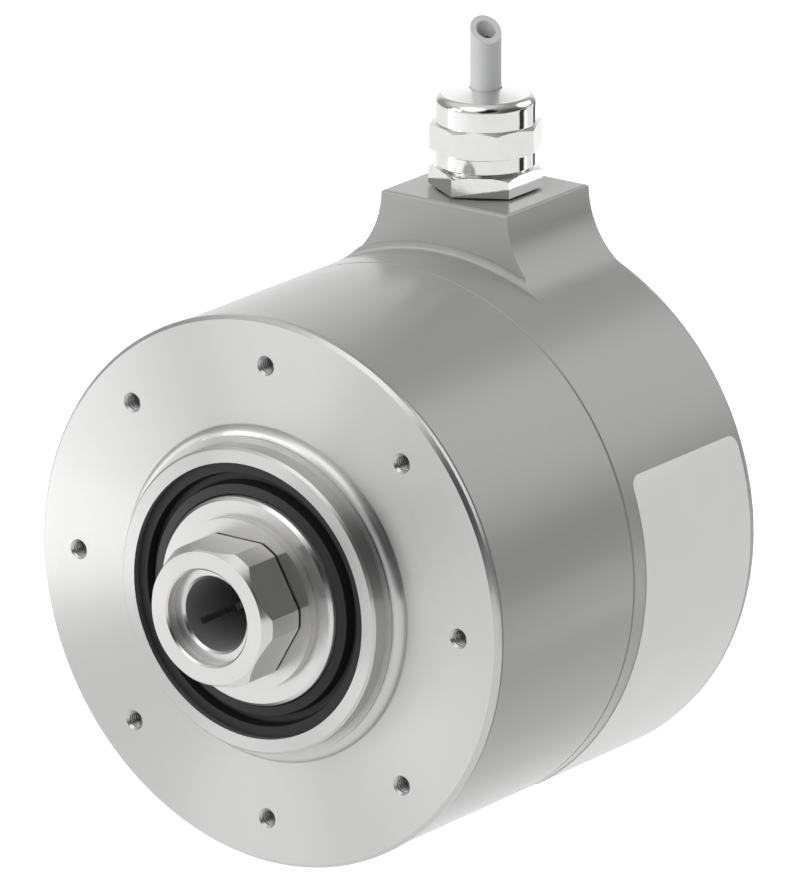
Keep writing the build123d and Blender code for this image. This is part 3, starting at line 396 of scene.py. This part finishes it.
FINISHES = {
    "turned_aluminium": turned_metal(
        "turned_aluminium",
        colour=(0.46, 0.46, 0.455),
        roughness=0.30,
        anisotropy=0.92,
        ring_depth=0.010,
        ring_scale=4.2,
        tint_depth=0.05,
    ),
    "turned_steel": turned_metal(
        "turned_steel",
        colour=(0.535, 0.532, 0.525),
        roughness=0.24,
        anisotropy=0.6,
        ring_depth=0.008,
        ring_scale=4.8,
        tint_depth=0.04,
        milled_roughness=0.26,
    ),
    "bearing_steel": turned_metal(
        "bearing_steel",
        colour=(0.70, 0.70, 0.71),
        roughness=0.16,
        anisotropy=0.3,
        ring_depth=0.004,
        ring_scale=6.0,
        tint_depth=0.03,
    ),
    "spring_steel": turned_metal(
        "spring_steel",
        colour=(0.34, 0.34, 0.35),
        roughness=0.35,
        anisotropy=0.2,
        ring_depth=0.006,
        ring_scale=5.0,
        tint_depth=0.10,
    ),
    "screw_steel": turned_metal(
        "screw_steel",
        colour=(0.62, 0.62, 0.63),
        roughness=0.30,
        anisotropy=0.2,
        ring_depth=0.006,
        ring_scale=5.0,
        tint_depth=0.06,
    ),
    "plain_brass": turned_metal(
        "plain_brass",
        colour=(0.80, 0.62, 0.30),
        roughness=0.25,
        anisotropy=0.3,
        ring_depth=0.006,
        ring_scale=5.0,
        tint_depth=0.05,
    ),
    "housing_paint": housing_paint(),
    "nickel_plate": nickel_plate(),
    "seal_rubber": rubber("seal_rubber", level=0.014, roughness=0.42),
    "label_film": label_film(),
    "cable_sheath": moulded("cable_sheath", (0.60, 0.603, 0.608), 0.55, shade_depth=0.03),
    "core_sheath": moulded("core_sheath", (0.07, 0.07, 0.08), 0.5),
    "black_plastic": moulded("black_plastic", (0.025, 0.025, 0.027), 0.45),
    "cage_plastic": moulded("cage_plastic", (0.55, 0.43, 0.26), 0.45, shade_depth=0.06),
    "board_laminate": moulded("board_laminate", (0.03, 0.16, 0.08), 0.35),
    "clear_glass": glass(),
}


def finish_nodes():
    """Gives every node of the frame the finish of its material slot."""
    for part in frame["record"]["subparts"]:
        node = frame["nodes"][part["node"]]
        node.data.materials.clear()
        node.data.materials.append(FINISHES[part["material_slot"]])


finish_nodes()


# Threads, made by geometry nodes

class Maker:
    """A geometry node tree under construction, with named inputs for its sizes."""

    def __init__(self, name, floats, integers=()):
        self.tree = bpy.data.node_groups.new(name, "GeometryNodeTree")
        sockets = self.tree.interface
        for label in floats:
            sockets.new_socket(label, in_out="INPUT", socket_type="NodeSocketFloat")
        for label in integers:
            sockets.new_socket(label, in_out="INPUT", socket_type="NodeSocketInt")
        sockets.new_socket("Mesh", in_out="OUTPUT", socket_type="NodeSocketGeometry")
        self.inputs = self.tree.nodes.new("NodeGroupInput").outputs
        self.output = self.tree.nodes.new("NodeGroupOutput").inputs[0]

    def node(self, kind, settings=None, **sockets):
        return any_node(self.tree, kind, settings, **sockets).outputs[0]

    def size(self, label):
        return Wire(self.tree, self.inputs[label])

    def close(self, mesh, finish):
        """Ends the tree with Realize Instances and Set Material."""
        real = self.node("GeometryNodeRealizeInstances", Geometry=mesh)
        dressed = self.node("GeometryNodeSetMaterial", Geometry=real, Material=finish)
        self.tree.links.new(dressed, self.output)
        return self.tree


def ridge(maker):
    """Helical thread ridge about the Z axis, from z = 0 upwards."""
    path = maker.node(
        "GeometryNodeCurveSpiral",
        Resolution=POINTS_PER_TURN,
        Rotations=maker.size("Turns"),
        Start_Radius=maker.size("Radius"),
        End_Radius=maker.size("Radius"),
        Height=maker.size("Pitch") * maker.size("Turns"),
    )
    section = maker.node(
        "GeometryNodeCurvePrimitiveCircle", Resolution=RIDGE_SIDES, Radius=maker.size("Ridge")
    )
    return maker.node(
        "GeometryNodeCurveToMesh", Curve=path, Profile_Curve=section, Fill_Caps=True
    )


def single_thread(name, finish, foot):
    """One upright thread ridge, set down at its foot."""
    maker = Maker(name, ("Radius", "Pitch", "Turns", "Ridge"))
    placed = maker.node("GeometryNodeTransform", Geometry=ridge(maker), Translation=foot)
    return maker.close(placed, finish)


def tapped_threads(name, finish):
    """The same ridge down every tapped hole of the flange, along +Y."""
    maker = Maker(name, ("Radius", "Pitch", "Turns", "Ridge", "Circle", "Start"), ("Holes",))
    along = maker.node(
        "GeometryNodeTransform", Geometry=ridge(maker), Rotation=(-pi / 2, 0.0, 0.0)
    )
    ring = maker.node(
        "GeometryNodeMeshCircle", Vertices=maker.size("Holes"), Radius=maker.size("Circle")
    )
    start = maker.node("ShaderNodeCombineXYZ", Y=maker.size("Start"))
    holes = maker.node(
        "GeometryNodeTransform", Geometry=ring, Translation=start, Rotation=(pi / 2, 0.0, 0.0)
    )
    copies = maker.node("GeometryNodeInstanceOnPoints", Points=holes, Instance=along)
    return maker.close(copies, finish)


def grown(name, tree, sizes, body):
    """Runs a node tree once and keeps its result as a plain mesh that rides on a body."""
    piece = bpy.data.objects.new(name, bpy.data.meshes.new(name))
    bpy.context.scene.collection.objects.link(piece)
    modifier = piece.modifiers.new(name, "NODES")
    modifier.node_group = tree
    for item in tree.interface.items_tree:
        if item.name in sizes:
            modifier[item.identifier] = sizes[item.name]
    evaluated = piece.evaluated_get(bpy.context.evaluated_depsgraph_get())
    piece.data = bpy.data.meshes.new_from_object(evaluated)
    piece.data.name = name
    piece.modifiers.remove(modifier)
    shell = bmesh.new()
    shell.from_mesh(piece.data)
    bmesh.ops.scale(shell, vec=(MM, MM, MM), verts=shell.verts)
    bmesh.ops.recalc_face_normals(shell, faces=shell.faces)
    shell.to_mesh(piece.data)
    shell.free()
    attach(piece, body)


grown(
    "tapped_hole_threads",
    tapped_threads("tapped_hole_threads", FINISHES["turned_aluminium"]),
    {**TAPPED_THREAD, "Circle": TAPPED_CIRCLE, "Start": TAPPED_START, "Holes": TAPPED_COUNT},
    "root",
)
grown(
    "gland_neck_thread",
    single_thread(
        "gland_neck_thread", FINISHES["nickel_plate"], (0.0, GLAND_Y / MM, NECK_FOOT / MM)
    ),
    NECK_THREAD,
    "root",
)


# Studio

def aim(thing, target):
    way = Vector(target) - thing.location
    thing.rotation_euler = way.to_track_quat("-Z", "Y").to_euler()


def soft_box(name, place, target, width, height, power):
    """Rectangular lamp that the camera doesn't see."""
    light = bpy.data.lights.new(name, "AREA")
    light.shape = "RECTANGLE"
    light.size = width
    light.size_y = height
    light.energy = power
    lamp = bpy.data.objects.new(name, light)
    bpy.context.scene.collection.objects.link(lamp)
    lamp.location = place
    aim(lamp, target)
    lamp.visible_camera = False


def studio_world():
    """White for the camera; for the object a pale room with lit panels and dark cloths."""
    world = bpy.data.worlds.new("studio")
    bpy.context.scene.world = world
    world.use_nodes = True
    tree = world.node_tree
    tree.nodes.clear()
    place = any_node(tree, "ShaderNodeTexCoord")
    parts = any_node(tree, "ShaderNodeSeparateXYZ", Vector=place.outputs["Generated"])
    right, back, up = (Wire(tree, parts.outputs[index]) for index in range(3))
    level = ROOM_LEVEL
    for way, core, reach, strength in ROOM_PANELS.values():
        middle = Vector(way).normalized()
        nearness = right * middle.x + back * middle.y + up * middle.z
        level = level + nearness.ramp(cos(radians(reach)), cos(radians(core))) * strength
    rays = any_node(tree, "ShaderNodeLightPath")
    direct, through = (
        Wire(tree, rays.outputs[name]) for name in ("Is Camera Ray", "Is Transmission Ray")
    )
    white = any_node(tree, "ShaderNodeBackground", Color=grey(1.0), Strength=1.0)
    room = any_node(
        tree,
        "ShaderNodeBackground",
        Color=grey(1.0),
        Strength=level.clamped(ROOM_DARKEST, ROOM_BRIGHTEST),
    )
    mix = any_node(tree, "ShaderNodeMixShader", Fac=(direct + through).clamped())
    tree.links.new(room.outputs[0], mix.inputs[1])
    tree.links.new(white.outputs[0], mix.inputs[2])
    any_node(tree, "ShaderNodeOutputWorld", Surface=mix.outputs[0])


def pale_floor():
    """Plain pale floor far below the object, white to the camera outside the object's shadow."""
    bpy.ops.mesh.primitive_plane_add(size=FLOOR_SIZE, location=(0, 0, FLANGE_LOW.z - FLOOR_DROP))
    floor = bpy.context.object
    floor.name = "floor"
    finish = Finish("pale_floor", Roughness=0.9)
    finish.set("Base Color", grey(FLOOR_LEVEL))
    finish.set("Emission Color", grey(1.0))
    rays = finish.node("ShaderNodeLightPath")
    glow = finish.wire(rays, "Is Camera Ray") + finish.wire(rays, "Is Glossy Ray")
    finish.set("Emission Strength", glow.clamped() * FLOOR_GLOW)
    floor.data.materials.append(finish.material)


def dark_card(name, azimuth, elevation, width, height):
    """Upright dark card that stands round the object and shows in its metal alone."""
    centre = Vector((0.0, GLAND_Y, 0.0))
    way = Vector((
        cos(radians(azimuth)) * cos(radians(elevation)),
        sin(radians(azimuth)) * cos(radians(elevation)),
        sin(radians(elevation)),
    ))
    bpy.ops.mesh.primitive_plane_add(size=1.0, location=centre + way * CARD_DISTANCE)
    card = bpy.context.object
    card.name = name
    card.scale = (width, height, 1.0)
    aim(card, centre)
    card.visible_camera = False
    card.visible_diffuse = False
    card.visible_transmission = False
    card.visible_shadow = False
    finish = Finish(name, Roughness=0.9, Specular_IOR_Level=0.1)
    finish.set("Base Color", grey(CARD_LEVEL))
    card.data.materials.append(finish.material)


def photo_camera():
    """Camera at the photograph's angle, moved sideways for its framing, with no lens shift."""
    scene = bpy.context.scene
    right = Vector((cos(CAMERA_AZIMUTH), sin(CAMERA_AZIMUTH), 0.0))
    back = Vector((
        sin(CAMERA_AZIMUTH) * cos(CAMERA_ELEVATION),
        -cos(CAMERA_AZIMUTH) * cos(CAMERA_ELEVATION),
        sin(CAMERA_ELEVATION),
    ))
    up = back.cross(right)
    across = (IMAGE_SIZE[0] / 2 - ORIGIN_PIXEL[0]) / PIXELS_PER_MM * MM
    rise = (ORIGIN_PIXEL[1] - IMAGE_SIZE[1] / 2) / PIXELS_PER_MM * MM
    target = right * across + up * rise
    data = bpy.data.cameras.new("camera")
    data.sensor_width = SENSOR_MM
    data.lens = PIXELS_PER_MM * (CAMERA_DISTANCE / MM) / max(IMAGE_SIZE) * SENSOR_MM
    data.clip_end = CAMERA_REACH
    camera = bpy.data.objects.new("camera", data)
    scene.collection.objects.link(camera)
    turn = Matrix((right, up, back)).transposed().to_4x4()
    camera.matrix_world = Matrix.Translation(target + back * CAMERA_DISTANCE) @ turn
    scene.camera = camera


studio_world()
pale_floor()
for card_name, card_place in DARK_CARDS.items():
    dark_card(card_name, *card_place)
photo_camera()
for lamp_name, lamp_setting in LAMPS.items():
    soft_box(lamp_name, *lamp_setting)
bpy.context.scene.view_settings.view_transform = "Standard"
